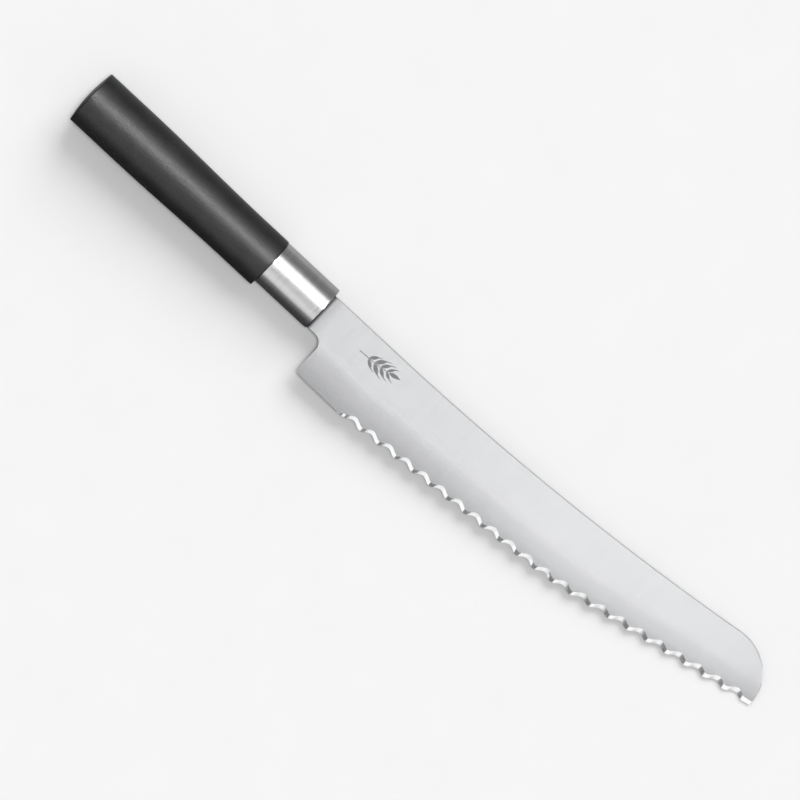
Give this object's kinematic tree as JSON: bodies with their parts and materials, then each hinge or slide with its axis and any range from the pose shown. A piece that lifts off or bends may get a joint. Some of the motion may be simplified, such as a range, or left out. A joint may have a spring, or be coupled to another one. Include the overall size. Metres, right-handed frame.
{
  "type": "bread knife",
  "caption": "Long scalloped bread knife: curved steel blade with rounded tip, oval steel ferrule, plain oval black plastic handle and a hidden tang.",
  "frame": {"origin": "middle of the overall length and of the overall height, at the level of the lowest point of the handle, with the knife lying on its side and the blade level", "axes": "+X from the butt of the handle to the tip of the blade, +Y from the cutting edge towards the spine, +Z out of the blade face that carries the ground facets"},
  "size_m": [0.3695, 0.0472, 0.02],
  "materials": {
    "blade_steel": "fine satin grain across the blade, bright ground facets at the teeth",
    "ferrule_steel": "satin, brushed around the sleeve",
    "handle_plastic": "matt black with a fine moulded pebble texture",
    "bond_epoxy": "cured epoxy, hidden"
  },
  "bodies": {
    "root": {"blade": "blade_steel", "ferrule": "ferrule_steel", "handle": "handle_plastic", "tang_bond": "bond_epoxy"}
  },
  "joints": []
}
